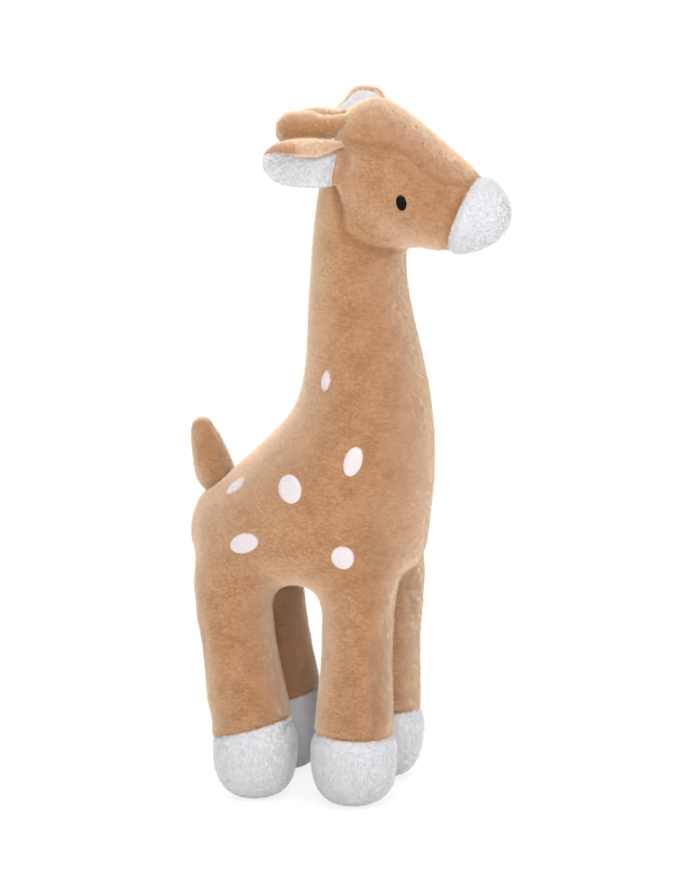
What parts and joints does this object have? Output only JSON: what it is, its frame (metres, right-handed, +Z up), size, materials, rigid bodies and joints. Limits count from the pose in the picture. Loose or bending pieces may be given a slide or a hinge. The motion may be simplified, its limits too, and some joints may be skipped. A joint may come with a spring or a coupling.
{
  "type": "plush giraffe",
  "caption": "Stuffed standing toy giraffe in short-pile plush, with a long neck, white muzzle, thick legs with white hooves, flop ears, horn knobs and a stubby tail.",
  "frame": {"origin": "on the floor, under the middle of the outline", "axes": "+Z up through body, neck and head; the giraffe faces -Y and its right side is at -X"},
  "size_m": [0.1386, 0.1771, 0.3803],
  "materials": {
    "tan_plush": "matt",
    "white_plush": "matt",
    "fibre_filling": "matt",
    "black_thread": "satin",
    "white_thread": "satin"
  },
  "bodies": {
    "trunk": {"body_panel_right": "tan_plush", "body_panel_left": "tan_plush", "belly_gusset": "tan_plush", "body_filling": "fibre_filling", "spot_neck_right": "white_thread", "spot_shoulder_right": "white_thread", "spot_back_right": "white_thread", "spot_flank_right": "white_thread", "spot_side_right": "white_thread", "spot_rump_right": "white_thread", "spot_neck_left": "white_thread", "spot_shoulder_left": "white_thread", "spot_back_left": "white_thread", "spot_flank_left": "white_thread", "spot_side_left": "white_thread", "spot_rump_left": "white_thread"},
    "leg_front_right": {"leg_front_right": "tan_plush", "hoof_front_right": "white_plush", "leg_front_right_filling": "fibre_filling"},
    "leg_front_left": {"leg_front_left": "tan_plush", "hoof_front_left": "white_plush", "leg_front_left_filling": "fibre_filling"},
    "leg_rear_right": {"leg_rear_right": "tan_plush", "hoof_rear_right": "white_plush", "leg_rear_right_filling": "fibre_filling"},
    "leg_rear_left": {"leg_rear_left": "tan_plush", "hoof_rear_left": "white_plush", "leg_rear_left_filling": "fibre_filling"},
    "head": {"head_panel_right": "tan_plush", "head_panel_left": "tan_plush", "forehead_gusset": "tan_plush", "head_filling": "fibre_filling", "muzzle_cap": "white_plush", "eye_right": "black_thread", "eye_left": "black_thread"},
    "ear_right": {"ear_back_right": "tan_plush", "ear_lining_right": "white_plush"},
    "ear_left": {"ear_back_left": "tan_plush", "ear_lining_left": "white_plush"},
    "horn_right": {"horn_right": "tan_plush"},
    "horn_left": {"horn_left": "tan_plush"},
    "tail": {"tail": "tan_plush"}
  },
  "joints": [
    {"name": "head_turn", "type": "hinge", "parent": "trunk", "child": "head", "pos_m": [0, -0.0044, 0.2973], "axis": [0, 0, 1], "range_deg": [-25, 25], "stiffness_Nm_per_rad": 0.3},
    {"name": "leg_front_right_swing", "type": "hinge", "parent": "trunk", "child": "leg_front_right", "pos_m": [-0.0262, -0.0139, 0.1123], "axis": [1, 0, 0], "range_deg": [-20, 2.5], "stiffness_Nm_per_rad": 2},
    {"name": "leg_front_left_swing", "type": "hinge", "parent": "trunk", "child": "leg_front_left", "pos_m": [0.0262, -0.0139, 0.1123], "axis": [1, 0, 0], "range_deg": [-20, 2.5], "stiffness_Nm_per_rad": 2},
    {"name": "leg_rear_right_swing", "type": "hinge", "parent": "trunk", "child": "leg_rear_right", "pos_m": [-0.0262, 0.0571, 0.1123], "axis": [1, 0, 0], "range_deg": [-2.5, 20], "stiffness_Nm_per_rad": 2},
    {"name": "leg_rear_left_swing", "type": "hinge", "parent": "trunk", "child": "leg_rear_left", "pos_m": [0.0262, 0.0571, 0.1123], "axis": [1, 0, 0], "range_deg": [-2.5, 20], "stiffness_Nm_per_rad": 2},
    {"name": "ear_right_flop", "type": "hinge", "parent": "head", "child": "ear_right", "pos_m": [-0.0262, -0.0024, 0.3483], "axis": [0.5592, 0.829, 0], "range_deg": [-20, 20], "stiffness_Nm_per_rad": 0.05},
    {"name": "ear_left_flop", "type": "hinge", "parent": "head", "child": "ear_left", "pos_m": [0.0262, -0.0024, 0.3483], "axis": [0.4226, -0.9063, 0], "range_deg": [-20, 20], "stiffness_Nm_per_rad": 0.05},
    {"name": "horn_right_bend", "type": "hinge", "parent": "head", "child": "horn_right", "pos_m": [-0.0105, 0.0086, 0.3628], "axis": [1, 0, 0], "range_deg": [-3, 20], "stiffness_Nm_per_rad": 0.05},
    {"name": "horn_left_bend", "type": "hinge", "parent": "head", "child": "horn_left", "pos_m": [0.0105, 0.0086, 0.3628], "axis": [1, 0, 0], "range_deg": [-3, 20], "stiffness_Nm_per_rad": 0.05},
    {"name": "tail_bend", "type": "hinge", "parent": "trunk", "child": "tail", "pos_m": [0, 0.0731, 0.1678], "axis": [1, 0, 0], "range_deg": [-35, 5], "stiffness_Nm_per_rad": 0.05}
  ]
}
